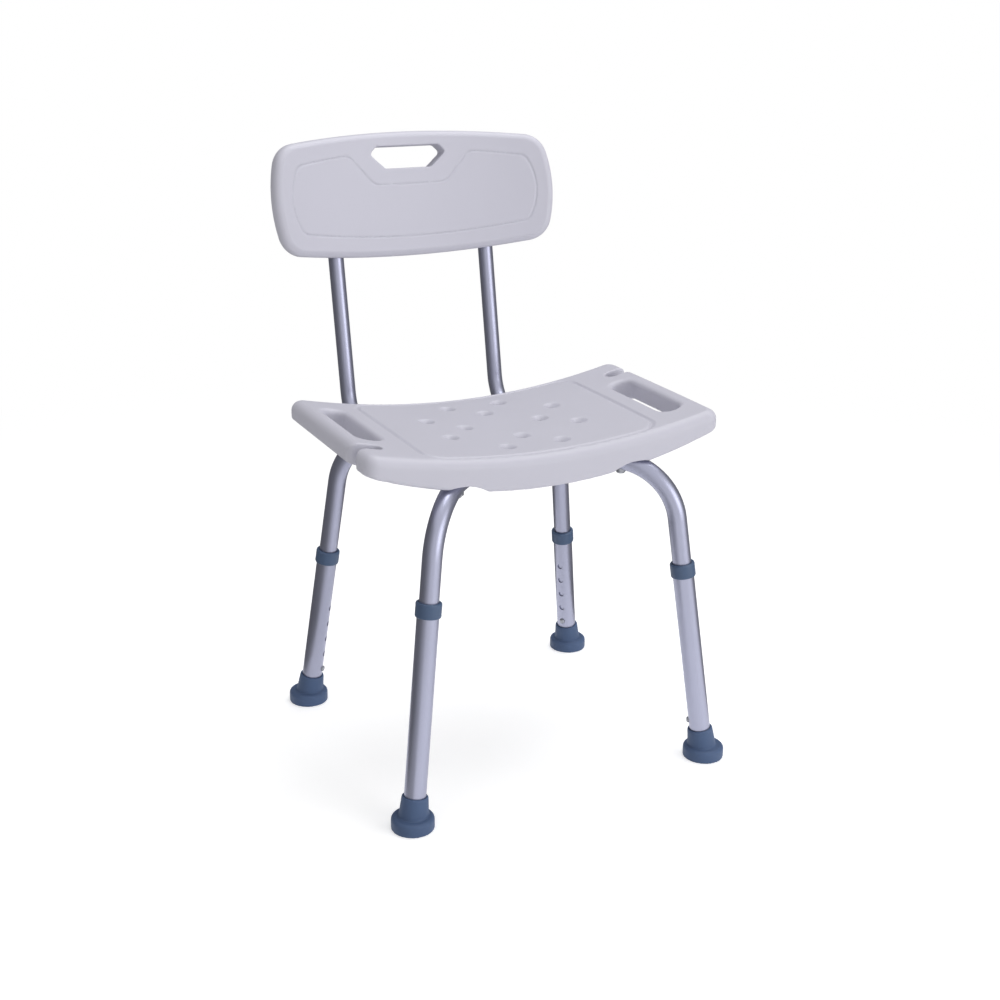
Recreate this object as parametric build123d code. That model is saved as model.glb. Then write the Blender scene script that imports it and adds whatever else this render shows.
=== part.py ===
"""Shower chair with a backrest: moulded seat and back on a crossed aluminium tube frame.

Axes: X to the sitter's left-right, -Y the chair's front, +Y its back, +Z up, floor at Z = 0.
The four legs telescope, and a sprung button in each locks it at one of five heights.
All lengths are in millimetres.
"""

from build123d import *
import math
import os

# seat: a moulded panel, dished from side to side and slightly crowned from front to back
SEAT_WIDTH = 508.0
SEAT_DEPTH = 289.0
SEAT_CORNER = 18.0
SEAT_TOP = 456.0  # height of the top at the middle
SEAT_DISH = 30.8  # rise of the top from the middle to each end
SEAT_CROWN = 0.8  # drop of the top from the middle to the front and back edges
SEAT_THICK = 44.6  # at the middle
SEAT_UNDER_RISE = 47.0  # rise of the underside from the middle to each end
SEAT_TOP_ROUND = 13.0
SEAT_UNDER_ROUND = 4.0
SEAT_LINE_END_INSET = 86.0  # from each end of the seat to the moulded line on the top
SEAT_LINE_SIDE_INSET = 15.5  # from the front and the back edge to the line
SEAT_LINE_CORNER = 28.0
LINE_WIDTH = 6.0
LINE_DEPTH = 2.2

# openings in the seat
DRAIN_RINGS = ((56.0, 4, 0.0), (102.0, 8, 22.5))  # ring radius, count, first angle
DRAIN_BORE = 9.0
DRAIN_DISH = 23.0
DRAIN_DISH_DEPTH = 6.0
DRAIN_CLEAR = 4.0  # how far a drain's cutter stands over the top
GRIP_LENGTH = 148.0
GRIP_WIDTH = 32.0
GRIP_INSET = 43.0  # from the seat's end to the middle of a hand grip slot
GRIP_SHIFT = 18.0  # the slot's middle off the seat's middle, opposite ways on the two sides
GRIP_CORNER = 15.0
GRIP_TOP_ROUND = 7.0
GRIP_UNDER_ROUND = 4.0
NOTCH_WIDTH = 20.0
NOTCH_DEPTH = 41.0
NOTCH_Y = 92.0
NOTCH_MOUTH = 10.0
ARCH_X = 127.0  # middle of the shallow arch in the rim over each leg
ARCH_WIDTH = 54.0
ARCH_HEIGHT = 6.0
ARCH_LENGTH = 24.0

# crossed leg frame
FOOT_X = 220.5  # middle of a foot on the floor
FOOT_Y = 197.0
CORNER_X = 169.2  # where a leg's axis would meet the level run under the seat
CORNER_Y = 158.6
FRAME_DROP = 1.6  # how far the tubes stand out below the seat's middle
BEND_RADIUS = 87.0
FRAME_TUBE = 25.4
FRAME_WALL = 1.2
CROSS_HEIGHT = 12.6  # height of each tube where it is pressed flat to pass the other
CROSS_HALF = 23.0  # half length of the flat stretch
CROSS_BLEND = 30.0
FLAT_CROWN = 0.03  # rise of the flat faces' middle over their edges
LAYER_GAP = 0.1  # between the two flat stretches
SEAT_CHANNEL_GAP = 0.3

# telescoping legs
LEG_TUBE = 28.6
LEG_WALL = 1.3
LEG_FLOOR_GAP = 10.0  # from the floor to the tube's end, along the leg
INNER_END = 30.0  # from the floor to the frame tube's end, along the leg
COLLAR_FRONT_LEFT = 286.0  # height of each collar's middle above the floor
COLLAR_FRONT_RIGHT = 276.5
COLLAR_REAR_LEFT = 233.5
COLLAR_REAR_RIGHT = 202.0
COLLAR_DIAMETER = 33.5
COLLAR_HEIGHT = 20.0
COLLAR_LIP = 6.0  # the part of the collar above the leg tube, which guides the frame tube
COLLAR_ROUND = 2.1
GUIDE_GAP = 0.05
HOLE_PITCH = 25.0
HOLE_COUNT = 5
HOLE_FIRST = 55.0  # from the floor to the lowest hole, along the leg
HOLE_DIAMETER = 8.6

# snap buttons
BUTTON_GAP = 0.2
BUTTON_REACH = 3.0  # how far the button stands out of the leg tube
BUTTON_ROUND = 2.4
BUTTON_FLANGE = 11.0
BUTTON_FLANGE_THICK = 1.0
BUTTON_FLANGE_TOP = 9.6  # from the leg's axis to the flange's outer side
SPRING_THICK = 0.8
SPRING_WIDTH = 8.0
SPRING_LENGTH = 44.0
SPRING_BEND = 3.6
SPRING_FAR_SIDE = 10.1  # from the leg's axis to the middle of the strip's plain end

# rubber feet
FOOT_FLANGE = 56.2
FOOT_FLANGE_HEIGHT = 17.0
FOOT_FLANGE_ROUND = 5.0
FOOT_NECK_BASE = 42.0
FOOT_NECK_TOP = 34.4
FOOT_NECK_HEIGHT = 43.0
FOOT_NECK_ROUND = 2.0
FOOT_WASHER = 2.0
FOOT_TREADS = (11.0, 18.0)  # radius of each groove under the foot
TREAD_WIDTH = 3.0
TREAD_DEPTH = 1.5

# back tubes
BACK_X = 119.7
BACK_TUBE = 22.2
BACK_WALL = 1.4
BACK_LEAN = 11.0  # degrees back from upright
BACK_BASE_Y = 259.6  # where the leaning run would meet the level run
BACK_BEND = 60.0
BACK_FRONT_END = 35.0
BACK_SCREW_Y = 55.0
BACK_FRAME_GAP = 0.6  # between a back tube and the leg frame that it passes under
SPACER_RADIUS = 9.5
PLUG_CAP = 2.5
PLUG_ROUND = 1.5
PLUG_STEM = 12.0

# backrest: a moulded panel, curved around the sitter
REST_HALF = 218.8
REST_HEIGHT = 178.4
REST_THICK = 26.0
REST_MIDDLE = 720.0  # height of the panel's middle
REST_WRAP = 41.0  # how far the sides come forward of the middle
REST_TOP_DROP = 16.4
REST_BOTTOM_RISE = 11.8
REST_SIDE_TAPER = 14.4  # how far the corners stand in from the sides' middle
REST_CORNER = 37.0
REST_ROUND = 10.0
REST_LINE_INSET = 28.0
REST_LINE_CORNER = 15.0
REST_LINE_WIDTH = 3.0
REST_LINE_DEPTH = 1.2
HANDLE_TOP = (48.5, 68.5)  # corners of the hand hold: half width, height over the middle
HANDLE_SIDE = (59.5, 57.5)
HANDLE_BOTTOM = (36.0, 37.0)
HANDLE_CORNER = 5.0
DIP_TOP = 98.0
DIP_BOTTOM = (56.0, 14.0)
DIP_CORNER = 18.0
REST_CHANNEL_GAP = 0.3
REST_TUBE_TOP = 45.0  # the back tubes' ends over the panel's middle
REST_SCREW_HEIGHTS = (-50.0, 15.0)

# fasteners
BOLT = 6.0
BOLT_HEAD = 12.0
BOLT_HEAD_HEIGHT = 4.0
BOLT_HEAD_ROUND = 2.4
BOLT_SOCKET = 4.0
BOLT_HOLE_GAP = 0.3
TIP_GAP = 1.0  # from a bolt's tip to the end of its insert
REST_SCREW = 5.0
REST_SCREW_HEAD = 9.5
INSERT_WALL = 1.6
INSERT_LENGTH = 12.0
REST_INSERT_LENGTH = 10.0
WASHER_DIAMETER = 17.0
WASHER_THICK = 1.5

# sizes that follow from those above
FRAME_RADIUS = FRAME_TUBE / 2
LEG_RADIUS = LEG_TUBE / 2
BACK_RADIUS = BACK_TUBE / 2
FLAT_STRAIGHT = math.pi * (FRAME_TUBE - CROSS_HEIGHT) / 4  # half the flat face of a pressed tube
FLAT_HALF_WIDTH = FLAT_STRAIGHT + CROSS_HEIGHT / 2
SEAT_UNDER = SEAT_TOP - SEAT_THICK
GRIP_X = SEAT_WIDTH / 2 - GRIP_INSET
CHANNEL_RADIUS = FRAME_RADIUS + SEAT_CHANNEL_GAP
FRAME_Z = SEAT_UNDER + FRAME_RADIUS - FRAME_DROP
BACK_RUN_Z = FRAME_Z - FRAME_RADIUS - BACK_RADIUS - BACK_FRAME_GAP
CORNER = Vector(CORNER_X, CORNER_Y, FRAME_Z)
FOOT = Vector(FOOT_X, FOOT_Y, 0)
LEG_UP = (CORNER - FOOT).normalized()
RUN = Vector(CORNER_X, CORNER_Y, 0).normalized()
DIAGONAL = math.sqrt(0.5)  # share of a radius, each way, at the middle of a quarter turn
FACES_UP = 0.9  # upright share of the normal of a face that counts as top or bottom
LEAN_BACK = Vector(0, math.sin(math.radians(BACK_LEAN)), math.cos(math.radians(BACK_LEAN)))


def sagitta_radius(half, rise):
    """Radius of the arc that rises by `rise` over the half chord `half`."""
    return (half**2 + rise**2) / (2 * rise)


def rise_at(radius, offset):
    """Rise of an arc of this radius at an offset from its middle."""
    return radius - math.sqrt(radius**2 - offset**2)


TOP_RADIUS = sagitta_radius(SEAT_WIDTH / 2, SEAT_DISH)
CROWN_RADIUS = sagitta_radius(SEAT_DEPTH / 2, SEAT_CROWN)
UNDER_RADIUS = sagitta_radius(SEAT_WIDTH / 2, SEAT_UNDER_RISE)
REST_RADIUS = sagitta_radius(REST_HALF, REST_WRAP)


def leg_frame():
    """Plane at a foot's middle on the floor, Z up the leg, X towards the chair's middle."""
    lean = Vector(LEG_UP.X, LEG_UP.Y, 0)
    inward = lean - LEG_UP * lean.dot(LEG_UP)
    return Plane(origin=FOOT, x_dir=inward, z_dir=LEG_UP)


LEG = leg_frame()
TUBE_FOOT = Vector(0, BACK_BASE_Y, BACK_RUN_Z)
REST_CENTRE = TUBE_FOOT + LEAN_BACK * ((REST_MIDDLE - BACK_RUN_Z) / LEAN_BACK.Z)
# X across, Y up the leaning panel, Z to the front: both back tubes' axes lie in it
REST = Plane(origin=REST_CENTRE, x_dir=(1, 0, 0), z_dir=Vector(1, 0, 0).cross(LEAN_BACK))


def at_corner(shape, side, end):
    """Move a shape of the back right corner to another: side and end are +1 or -1."""
    if side < 0 and end < 0:
        return shape.rotate(Axis.Z, 180)
    if side < 0:
        return mirror(shape, about=Plane.YZ)
    if end < 0:
        return mirror(shape, about=Plane.XZ)
    return shape


def rod(plane, radius, low, high):
    """A cylinder on the plane's Z axis, from low to high."""
    blank = Cylinder(radius, high - low, align=(Align.CENTER, Align.CENTER, Align.MIN))
    return plane * Pos(0, 0, low) * blank


def ring(plane, outer, inner, low, high):
    """A tube on the plane's Z axis, from low to high."""
    return rod(plane, outer, low, high) - rod(plane, inner, low, high)


def upright(x, y):
    """Plane whose Z axis is a vertical line."""
    return Plane(origin=(x, y, 0))


def bent_path(start, corner, end, radius):
    """A line, an arc of the radius in place of the corner, and a line."""
    back = (start - corner).normalized()
    ahead = (end - corner).normalized()
    half = math.radians(back.get_angle(ahead)) / 2
    middle = (back + ahead).normalized()
    centre = corner + middle * (radius / math.sin(half))
    first = corner + back * (radius / math.tan(half))
    last = corner + ahead * (radius / math.tan(half))
    arc = ThreePointArc(first, centre - middle * radius, last)
    return Line(start, first) + arc + Line(last, end)


def swept_rod(path, radius):
    """A round bar along a path."""
    start = path @ 0
    return sweep(Plane(origin=start, z_dir=path % 0) * Circle(radius), path=path)


# ---------------------------------------------------------------- seat

def seat_body(sink=0.0):
    """The seat's solid between its curved top, lowered by sink, and its curved underside."""
    plan = RectangleRounded(SEAT_WIDTH, SEAT_DEPTH, SEAT_CORNER)
    prism = extrude(plan, SEAT_TOP + SEAT_DISH + SEAT_THICK)
    reach = SEAT_DEPTH
    axis_z = SEAT_TOP + TOP_RADIUS
    crown = SEAT_TOP - sink - rise_at(CROWN_RADIUS, reach)
    arc = ThreePointArc((-reach, crown), (0, SEAT_TOP - sink), (reach, crown))
    low = SEAT_UNDER - SEAT_THICK
    rest = Polyline((reach, crown), (reach, low), (-reach, low), (-reach, crown))
    profile = make_face(Plane.YZ * (arc + rest))
    turn = 2 * math.degrees(math.asin(SEAT_WIDTH / TOP_RADIUS))
    axis = Axis((0, 0, axis_z), (0, 1, 0))
    under_top = revolve(profile, axis, turn).rotate(axis, -turn / 2)
    over_bottom = Cylinder(UNDER_RADIUS, 2 * reach, rotation=(90, 0, 0))
    over_bottom = Pos(0, 0, SEAT_UNDER + UNDER_RADIUS) * over_bottom
    return prism & under_top & over_bottom


def loop_of(shape, highest):
    """The edges round a panel's top face, or round its bottom face."""
    flat = shape.faces().filter_by(lambda f: abs(f.normal_at().Z) > FACES_UP)
    ordered = flat.sort_by(Axis.Z)
    return ordered[-1 if highest else 0].edges()


def seat_line():
    """Cutter for the moulded line on the top."""
    length = SEAT_WIDTH - 2 * SEAT_LINE_END_INSET
    width = SEAT_DEPTH - 2 * SEAT_LINE_SIDE_INSET
    half = LINE_WIDTH / 2
    outer = RectangleRounded(length + LINE_WIDTH, width + LINE_WIDTH, SEAT_LINE_CORNER + half)
    inner = RectangleRounded(length - LINE_WIDTH, width - LINE_WIDTH, SEAT_LINE_CORNER - half)
    band = extrude(outer - inner, SEAT_TOP + SEAT_THICK)
    return band - seat_body(LINE_DEPTH)


def drain_places():
    """Middle of each drain hole."""
    places = []
    for radius, count, first in DRAIN_RINGS:
        for n in range(count):
            angle = math.radians(first + n * 360 / count)
            places.append((radius * math.cos(angle), radius * math.sin(angle)))
    return places


def top_at(x, y):
    """Height of the seat's top."""
    return SEAT_TOP + rise_at(TOP_RADIUS, x) - rise_at(CROWN_RADIUS, y)


def drain(x, y):
    """Cutter for one drain hole with its dish."""
    top = top_at(x, y)
    slope = (DRAIN_DISH - DRAIN_BORE) / 2 / DRAIN_DISH_DEPTH
    cone = Cone(
        DRAIN_BORE / 2,
        DRAIN_DISH / 2 + slope * DRAIN_CLEAR,
        DRAIN_DISH_DEPTH + DRAIN_CLEAR,
        align=(Align.CENTER, Align.CENTER, Align.MIN),
    )
    bore = rod(upright(x, y), DRAIN_BORE / 2, SEAT_UNDER - SEAT_THICK, top)
    return bore + Pos(x, y, top - DRAIN_DISH_DEPTH) * cone


def surface_plane(x, y):
    """Plane on the seat's top at x, tilted with the dish."""
    tilt = math.asin(x / TOP_RADIUS)
    across = (math.cos(tilt), 0, math.sin(tilt))
    return Plane(origin=(x, y, top_at(x, 0)), x_dir=across, z_dir=(-across[2], 0, across[0]))


def grip_slot():
    """Cutter for the hand grip slot on the right."""
    plan = RectangleRounded(GRIP_WIDTH, GRIP_LENGTH, GRIP_CORNER)
    return extrude(surface_plane(GRIP_X, -GRIP_SHIFT) * plan, SEAT_THICK, both=True)


def slot_rim(seat, x, y, upper):
    """The edges round a hand grip slot's opening in the top, or in the underside."""
    place = surface_plane(x, y)
    thick = top_at(x, 0) - SEAT_UNDER - rise_at(UNDER_RADIUS, x)
    rim = []
    for edge in seat.edges():
        spot = place.to_local_coords(edge.center())
        across = 2 * abs(spot.X) < GRIP_WIDTH + GRIP_TOP_ROUND
        along = 2 * abs(spot.Y) < GRIP_LENGTH + GRIP_TOP_ROUND
        level = spot.Z > -thick / 4 if upper else spot.Z < -3 * thick / 4
        if across and along and level:
            rim.append(edge)
    return rim


def rounded_slots(seat):
    """The seat with the edges of its hand grip slots rounded over, more on top than below."""
    for x, y in ((GRIP_X, -GRIP_SHIFT), (-GRIP_X, GRIP_SHIFT)):
        seat = fillet(slot_rim(seat, x, y, True), GRIP_TOP_ROUND)
        seat = fillet(slot_rim(seat, x, y, False), GRIP_UNDER_ROUND)
    return seat


def notch():
    """Cutter for the notch in the right side, open to the side, with a rounded mouth."""
    half = NOTCH_WIDTH / 2
    side = SEAT_WIDTH / 2
    tip = side - NOTCH_DEPTH
    flank = NOTCH_MOUTH
    outline = make_face(
        Line((side, half + flank), (side, -half - flank))
        + ThreePointArc(
            (side, -half - flank),
            (side - flank * (1 - DIAGONAL), -half - flank * (1 - DIAGONAL)),
            (side - flank, -half),
        )
        + Line((side - flank, -half), (tip + half, -half))
        + ThreePointArc((tip + half, -half), (tip, 0), (tip + half, half))
        + Line((tip + half, half), (side - flank, half))
        + ThreePointArc(
            (side - flank, half),
            (side - flank * (1 - DIAGONAL), half + flank * (1 - DIAGONAL)),
            (side, half + flank),
        )
    )
    opening = extrude(Pos(0, NOTCH_Y) * outline, SEAT_TOP + SEAT_THICK)
    beyond = Pos(side, NOTCH_Y, 0) * Box(
        NOTCH_WIDTH, NOTCH_WIDTH + 2 * flank, SEAT_TOP + SEAT_THICK,
        align=(Align.MIN, Align.CENTER, Align.MIN),
    )
    return opening + beyond


def rim_arch():
    """Cutter for the shallow arch in the rim over the back right leg."""
    radius = sagitta_radius(ARCH_WIDTH / 2, ARCH_HEIGHT)
    foot = SEAT_UNDER + rise_at(UNDER_RADIUS, ARCH_X)
    place = Plane(origin=(ARCH_X, 0, foot + ARCH_HEIGHT - radius), z_dir=(0, 1, 0))
    return rod(place, radius, SEAT_DEPTH / 2 - ARCH_LENGTH, SEAT_DEPTH)


def seat_panel():
    """The moulded seat with its openings, its channels for the tubes and its insert holes."""
    seat = seat_body()
    seat = fillet(loop_of(seat, True), SEAT_TOP_ROUND)
    seat = fillet(loop_of(seat, False), SEAT_UNDER_ROUND)
    slot = grip_slot()
    seat = rounded_slots(seat - slot - slot.rotate(Axis.Z, 180))
    seat = seat - seat_line()
    for x, y in drain_places():
        seat = seat - drain(x, y)
    opening = notch()
    seat = seat - opening - opening.rotate(Axis.Z, 180)
    relief = frame_channel() + rim_arch()
    for side in (-1, 1):
        for end in (-1, 1):
            seat = seat - at_corner(relief, side, end)
    for x, y in insert_places():
        top = insert_floor(x, y) + INSERT_LENGTH
        seat = seat - rod(upright(x, y), BOLT / 2 + INSERT_WALL, SEAT_UNDER - SEAT_THICK, top)
    return seat


# ---------------------------------------------------------------- crossed frame

def frame_path():
    """Route of half a frame tube: level from near the middle, round the bend, down the leg."""
    start = RUN * (CROSS_HALF + CROSS_BLEND) + Vector(0, 0, FRAME_Z)
    return bent_path(start, CORNER, FOOT + LEG_UP * INNER_END, BEND_RADIUS)


def leg_run(radius):
    """Round bar from the chair's middle along the back right leg to the floor."""
    return swept_rod(bent_path(Vector(0, 0, FRAME_Z), CORNER, FOOT, BEND_RADIUS), radius)


def frame_channel():
    """Cutter for the channel that half a frame tube lies in, open downwards."""
    level = Vector(CORNER_X, CORNER_Y, 0).length
    below = Pos(0, 0, FRAME_Z) * Box(
        level, 2 * CHANNEL_RADIUS, 2 * SEAT_THICK, align=(Align.MIN, Align.CENTER, Align.MAX)
    )
    middle = Pos(0, 0, FRAME_Z + CHANNEL_RADIUS) * Box(
        CROSS_HALF + CROSS_BLEND,
        2 * (FLAT_HALF_WIDTH + SEAT_CHANNEL_GAP),
        2 * SEAT_THICK,
        align=(Align.MIN, Align.CENTER, Align.MAX),
    )
    angle = math.degrees(math.atan2(CORNER_Y, CORNER_X))
    return leg_run(CHANNEL_RADIUS) + (below + middle).rotate(Axis.Z, angle)


def cross_section(half_width, half_height, corner, height, distance):
    """Closed outline across a frame tube, round or pressed flat, at a distance from the middle."""
    side, top = corner
    place = Plane(
        origin=RUN * distance + Vector(0, 0, height), x_dir=Vector(-RUN.Y, RUN.X, 0), z_dir=RUN
    )
    outline = (
        ThreePointArc((-side, -top), (-half_width, 0), (-side, top))
        + ThreePointArc((-side, top), (0, half_height), (side, top))
        + ThreePointArc((side, top), (half_width, 0), (side, -top))
        + ThreePointArc((side, -top), (0, -half_height), (-side, -top))
    )
    return place * make_face(outline)


def round_section(radius, distance):
    """Round outline of a frame tube."""
    corner = (radius * DIAGONAL, radius * DIAGONAL)
    return cross_section(radius, radius, corner, FRAME_Z, distance)


def flat_section(inset, layer, distance):
    """Outline of a frame tube pressed flat, in the upper or lower layer."""
    half_height = CROSS_HEIGHT / 2 - inset
    height = FRAME_Z + layer * (CROSS_HEIGHT + LAYER_GAP) / 2
    corner = (FLAT_STRAIGHT, half_height - FLAT_CROWN)
    return cross_section(FLAT_STRAIGHT + half_height, half_height, corner, height, distance)


def frame_bar(radius, inset, layer):
    """Solid bar of a whole frame tube's shape: two legs, two bends and the flat crossing."""
    leg = swept_rod(frame_path(), radius)
    blend = loft(
        [flat_section(inset, layer, CROSS_HALF), round_section(radius, CROSS_HALF + CROSS_BLEND)],
        ruled=True,
    )
    half = leg + blend
    ends = [flat_section(inset, layer, side * CROSS_HALF) for side in (-1, 1)]
    flat = loft(ends, ruled=True)
    return half + half.rotate(Axis.Z, 180) + flat


def button_axis():
    """Plane on the leg's axis at the lowest hole, Z towards the chair's middle."""
    origin = FOOT + LEG_UP * HOLE_FIRST
    return Plane(origin=origin, x_dir=LEG_UP, z_dir=LEG.x_dir)


def cross_tube(layer):
    """One frame tube from the front left foot to the back right foot, in its layer."""
    tube = frame_bar(FRAME_RADIUS, 0, layer) - frame_bar(FRAME_RADIUS - FRAME_WALL, FRAME_WALL, layer)
    hole = rod(button_axis(), HOLE_DIAMETER / 2, 0, LEG_TUBE)
    tube = tube - hole - hole.rotate(Axis.Z, 180)
    bolt_hole = BOLT / 2 + BOLT_HOLE_GAP
    for x, y in ((0, 0), frame_bolt_place(), tuple(-v for v in frame_bolt_place())):
        tube = tube - rod(upright(x, y), bolt_hole, FRAME_Z - FRAME_TUBE, FRAME_Z + FRAME_TUBE)
    return tube


def frame_bolt_place():
    """Where a seat bolt goes through the frame tube, over the back tube."""
    return BACK_X, BACK_X * CORNER_Y / CORNER_X


# ---------------------------------------------------------------- back tubes

def back_path():
    """Route of the right back tube's axis, from its top end to its front end under the seat."""
    top = REST_CENTRE + Vector(BACK_X, 0, 0) + LEAN_BACK * REST_TUBE_TOP
    corner = Vector(BACK_X, BACK_BASE_Y, BACK_RUN_Z)
    return bent_path(top, corner, Vector(BACK_X, BACK_FRONT_END, BACK_RUN_Z), BACK_BEND)


def rest_axis(height):
    """Plane on the right back tube's axis at a height over the panel's middle, Z to the front."""
    origin = REST_CENTRE + Vector(BACK_X, 0, 0) + LEAN_BACK * height
    return Plane(origin=origin, x_dir=(1, 0, 0), z_dir=REST.z_dir)


def back_tube():
    """The right back tube, with its holes for the seat bolts and the backrest screws."""
    path = back_path()
    tube = swept_rod(path, BACK_RADIUS) - swept_rod(path, BACK_RADIUS - BACK_WALL)
    bolt_hole = BOLT / 2 + BOLT_HOLE_GAP
    for y in (frame_bolt_place()[1], BACK_SCREW_Y):
        tube = tube - rod(upright(BACK_X, y), bolt_hole, BACK_RUN_Z - BACK_TUBE, BACK_RUN_Z + BACK_TUBE)
    for height in REST_SCREW_HEIGHTS:
        tube = tube - rod(rest_axis(height), REST_SCREW / 2 + BOLT_HOLE_GAP, -BACK_TUBE, BACK_TUBE)
    return tube


def tube_plug(plane):
    """Plug in an open tube end: the plane's Z points out of the tube."""
    cap = rod(plane, BACK_RADIUS, 0, PLUG_CAP)
    cap = fillet(cap.edges().sort_by(plane_axis(plane))[-1:], PLUG_ROUND)
    return cap + rod(plane, BACK_RADIUS - BACK_WALL, -PLUG_STEM, 0)


def plane_axis(plane):
    """The plane's Z axis as a line."""
    return Axis(plane.origin, plane.z_dir)


def back_spacer():
    """Spacer between the right back tube and the seat's underside."""
    place = upright(BACK_X, BACK_SCREW_Y)
    blank = ring(place, SPACER_RADIUS, BOLT / 2 + BOLT_HOLE_GAP, BACK_RUN_Z, SEAT_TOP)
    run = Plane(origin=(BACK_X, 0, BACK_RUN_Z), z_dir=(0, 1, 0))
    return blank - rod(run, BACK_RADIUS, 0, SEAT_DEPTH) - seat_body()


# ---------------------------------------------------------------- fasteners

def insert_places():
    """Where the seat's threaded inserts are: the middle, four frame bolts, two back tube bolts."""
    x, y = frame_bolt_place()
    places = [(0, 0)]
    places += [(i * x, j * y) for i in (-1, 1) for j in (-1, 1)]
    places += [(i * BACK_X, BACK_SCREW_Y) for i in (-1, 1)]
    return places


def insert_floor(x, y):
    """Height of an insert's lower end: a channel's ceiling, or the seat's underside."""
    if y == BACK_SCREW_Y:
        return SEAT_UNDER + rise_at(UNDER_RADIUS, abs(x) + SPACER_RADIUS)
    return FRAME_Z + CHANNEL_RADIUS


def seat_insert(x, y):
    """Threaded insert moulded into the seat."""
    low = insert_floor(x, y)
    return ring(upright(x, y), BOLT / 2 + INSERT_WALL, BOLT / 2, low, low + INSERT_LENGTH)


def bolt(plane, diameter, head, tip):
    """Button-head bolt from the plane up its Z axis to the tip, its head below the plane."""
    crown = rod(plane, head / 2, -BOLT_HEAD_HEIGHT, 0)
    crown = fillet(crown.edges().sort_by(plane_axis(plane))[:1], BOLT_HEAD_ROUND)
    hexagon = plane.offset(-BOLT_HEAD_HEIGHT) * RegularPolygon(BOLT_SOCKET / 2, 6)
    socket = extrude(hexagon, BOLT_HEAD_HEIGHT / 2)
    return crown + rod(plane, diameter / 2, 0, tip) - socket


def washer_floor(x, y):
    """Height of a seat washer's lower face."""
    if (x, y) == (0, 0):
        return FRAME_Z - CROSS_HEIGHT - LAYER_GAP / 2 - WASHER_THICK
    if y < 0:
        return FRAME_Z - FRAME_RADIUS - WASHER_THICK
    return BACK_RUN_Z - BACK_RADIUS - WASHER_THICK


def seat_bolt(x, y):
    """One bolt up into the seat."""
    low = washer_floor(x, y)
    tip = insert_floor(x, y) + INSERT_LENGTH - TIP_GAP
    return bolt(upright(x, y).offset(low), BOLT, BOLT_HEAD, tip - low)


def seat_washer(x, y):
    """Washer over a bolt's head, hollowed to sit on the round tube that it holds."""
    low = washer_floor(x, y)
    radius = WASHER_DIAMETER / 2
    bolt_hole = BOLT / 2 + BOLT_HOLE_GAP
    if (x, y) == (0, 0):
        return ring(upright(x, y), radius, bolt_hole, low, low + WASHER_THICK)
    if y < 0:
        held = at_corner(leg_run(FRAME_RADIUS), x, y)
        ceiling = low + WASHER_THICK + FRAME_RADIUS / 2
    else:
        run = Plane(origin=(x, 0, BACK_RUN_Z), z_dir=(0, 1, 0))
        held = rod(run, BACK_RADIUS, 0, SEAT_DEPTH)
        ceiling = low + WASHER_THICK + BACK_RADIUS / 2
    return ring(upright(x, y), radius, bolt_hole, low, ceiling) - held


def rest_insert(height):
    """Threaded insert in the backrest, in front of the right back tube."""
    low = BACK_RADIUS + REST_CHANNEL_GAP
    radius = REST_SCREW / 2
    return ring(rest_axis(height), radius + INSERT_WALL, radius, low, low + REST_INSERT_LENGTH)


def rest_screw(height):
    """Screw through the right back tube from behind."""
    place = rest_axis(height).offset(-BACK_RADIUS)
    reach = 2 * BACK_RADIUS + REST_CHANNEL_GAP + REST_INSERT_LENGTH - TIP_GAP
    return bolt(place, REST_SCREW, REST_SCREW_HEAD, reach)


# ---------------------------------------------------------------- backrest

def rest_outline(inset, corner):
    """Face of the panel's outline, or of one inside it: four gentle arcs with round corners."""
    side = REST_HALF - inset
    corner_x = side - REST_SIDE_TAPER
    half = REST_HEIGHT / 2 - inset
    top = half - REST_TOP_DROP
    bottom = REST_BOTTOM_RISE - half
    edges = (
        ThreePointArc((-corner_x, bottom), (0, -half), (corner_x, bottom))
        + ThreePointArc((corner_x, bottom), (side, 0), (corner_x, top))
        + ThreePointArc((corner_x, top), (0, half), (-corner_x, top))
        + ThreePointArc((-corner_x, top), (-side, 0), (-corner_x, bottom))
    )
    return fillet(make_face(edges).vertices(), corner)


def rest_shell(inner, outer):
    """What lies between two radii about the panel's upright axis in front of it."""
    near = Cylinder(inner, 2 * REST_HEIGHT, rotation=(90, 0, 0))
    far = Cylinder(outer, 2 * REST_HEIGHT, rotation=(90, 0, 0))
    return Pos(0, 0, REST_RADIUS) * (far - near)


def handle_cut():
    """Cutter for the hand hold near the panel's top."""
    right = [HANDLE_BOTTOM, HANDLE_SIDE, HANDLE_TOP]
    points = right + [(-x, y) for x, y in reversed(right)]
    face = fillet(make_face(Polyline(*points, close=True)).vertices(), HANDLE_CORNER)
    return extrude(face, REST_HALF, both=True)


def rest_field(grow):
    """Face inside the moulded line, grown by an amount, with the dip under the hand hold."""
    dip_x, dip_y = DIP_BOTTOM
    top = REST_HEIGHT / 2
    right = [
        (dip_x - grow, dip_y + grow),
        (DIP_TOP - grow, top - REST_LINE_INSET),
        (DIP_TOP - grow, top),
    ]
    points = right + [(-x, y) for x, y in reversed(right)]
    dip = make_face(Polyline(*points, close=True))
    field = rest_outline(REST_LINE_INSET - grow, REST_LINE_CORNER) - dip
    inner = [v for v in field.vertices() if abs(v.X) < DIP_TOP + REST_LINE_WIDTH and v.Y > 0]
    return fillet(inner, DIP_CORNER)


def rest_line():
    """Cutter for the moulded line on the front."""
    half = REST_LINE_WIDTH / 2
    band = extrude(rest_field(half) - rest_field(-half), REST_HALF)
    deepest = REST_RADIUS - REST_THICK / 2 + REST_LINE_DEPTH
    return band & rest_shell(REST_RADIUS - REST_HALF, deepest)


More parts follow.
